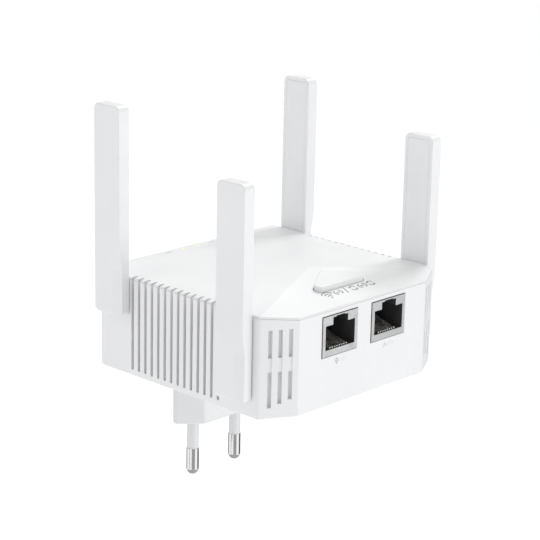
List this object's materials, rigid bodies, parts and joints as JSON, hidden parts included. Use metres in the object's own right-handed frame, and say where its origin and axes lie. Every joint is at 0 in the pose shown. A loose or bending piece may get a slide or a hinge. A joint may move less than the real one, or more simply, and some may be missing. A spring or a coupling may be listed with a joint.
{
  "type": "wifi range extender",
  "caption": "Plug-in wifi range extender: hip-roofed box on a round-pin mains plug, with folding blade antennas, network sockets and a three-cornered pairing button.",
  "frame": {"origin": "centre of the mains plug's engagement face, between the two pins", "axes": "+Z away from the wall outlet, towards the top cover; -Y towards the network sockets; +X to the right as seen from the socket side"},
  "size_m": [0.0862, 0.0745, 0.1244],
  "materials": {
    "housing_white": "satin white moulded plastic",
    "cover_white": "satin white moulded plastic",
    "antenna_white": "satin white moulded plastic",
    "button_white": "satin white moulded plastic",
    "plug_white": "satin white moulded plastic",
    "sleeve_white": "satin white insulating sleeve",
    "nickel_pins": "bright nickel plate over brass",
    "jack_tin": "tin-plated spring steel, fine grain",
    "jack_black": "black moulded nylon",
    "contact_gold": "gold-flashed spring wire",
    "light_guide_clear": "clear acrylic light guide",
    "led_body": "moulded light-emitting diode",
    "board_green": "green solder mask on glass laminate",
    "switch_dark": "dark moulded switch body",
    "actuator_red": "coloured moulded pin",
    "ferrite": "sintered ferrite",
    "coil_tape": "polyester coil tape",
    "capacitor_sleeve": "printed shrink sleeve",
    "component_dark": "moulded epoxy package",
    "fuse_glass": "glass fuse tube",
    "sink_aluminium": "extruded aluminium",
    "can_tin": "tin-plated can",
    "steel_screw": "zinc-plated steel",
    "radiator_laminate": "glass laminate with printed copper",
    "coax_black": "thin extruded jacket"
  },
  "bodies": {
    "root": {"rear_housing": "housing_white", "top_cover": "cover_white", "plug_boss": "plug_white", "plug_pins": "nickel_pins", "pin_sleeves": "sleeve_white", "cover_screws": "steel_screw", "tact_switch": "switch_dark", "light_guide": "light_guide_clear", "indicator_leds": "led_body", "main_board": "board_green", "board_screws": "steel_screw", "mains_board": "board_green", "transformer_core": "ferrite", "transformer_winding": "coil_tape", "capacitors": "capacitor_sleeve", "mains_fuse": "fuse_glass", "rectifier": "component_dark", "board_header": "component_dark", "radio_chips": "component_dark", "heat_sink": "sink_aluminium", "shield_cans": "can_tin", "coax_leads": "coax_black", "jack_shield_left": "jack_tin", "jack_insulator_left": "jack_black", "jack_contacts_left": "contact_gold", "jack_shield_right": "jack_tin", "jack_insulator_right": "jack_black", "jack_contacts_right": "contact_gold"},
    "pairing_button": {"wps_button": "button_white", "switch_actuator": "actuator_red"},
    "antenna_rear_left": {"antenna_rear_left_shell": "antenna_white", "antenna_rear_left_back": "antenna_white", "antenna_rear_left_element": "radiator_laminate", "antenna_rear_left_clip": "steel_screw"},
    "antenna_rear_right": {"antenna_rear_right_shell": "antenna_white", "antenna_rear_right_back": "antenna_white", "antenna_rear_right_element": "radiator_laminate", "antenna_rear_right_clip": "steel_screw"},
    "antenna_front_left": {"antenna_front_left_shell": "antenna_white", "antenna_front_left_back": "antenna_white", "antenna_front_left_element": "radiator_laminate", "antenna_front_left_clip": "steel_screw"},
    "antenna_front_right": {"antenna_front_right_shell": "antenna_white", "antenna_front_right_back": "antenna_white", "antenna_front_right_element": "radiator_laminate", "antenna_front_right_clip": "steel_screw"}
  },
  "joints": [
    {"name": "antenna_rear_left_hinge", "type": "hinge", "parent": "root", "child": "antenna_rear_left", "pos_m": [-0.0387, 0.00335, 0.047], "axis": [-1, 0, 0], "range_deg": [-15, 90]},
    {"name": "antenna_rear_right_hinge", "type": "hinge", "parent": "root", "child": "antenna_rear_right", "pos_m": [0.0387, 0.00335, 0.0454], "axis": [-1, 0, 0], "range_deg": [-15, 90]},
    {"name": "antenna_front_left_hinge", "type": "hinge", "parent": "root", "child": "antenna_front_left", "pos_m": [-0.0387, -0.0484, 0.033], "axis": [1, 0, 0], "range_deg": [-15, 90]},
    {"name": "antenna_front_right_hinge", "type": "hinge", "parent": "root", "child": "antenna_front_right", "pos_m": [0.0387, -0.0484, 0.0349], "axis": [1, 0, 0], "range_deg": [-15, 90]},
    {"name": "pairing_button_slide", "type": "slide", "parent": "root", "child": "pairing_button", "axis": [0, 0, -1], "range_m": [0, 0.0005], "stiffness_N_per_m": 3000}
  ]
}
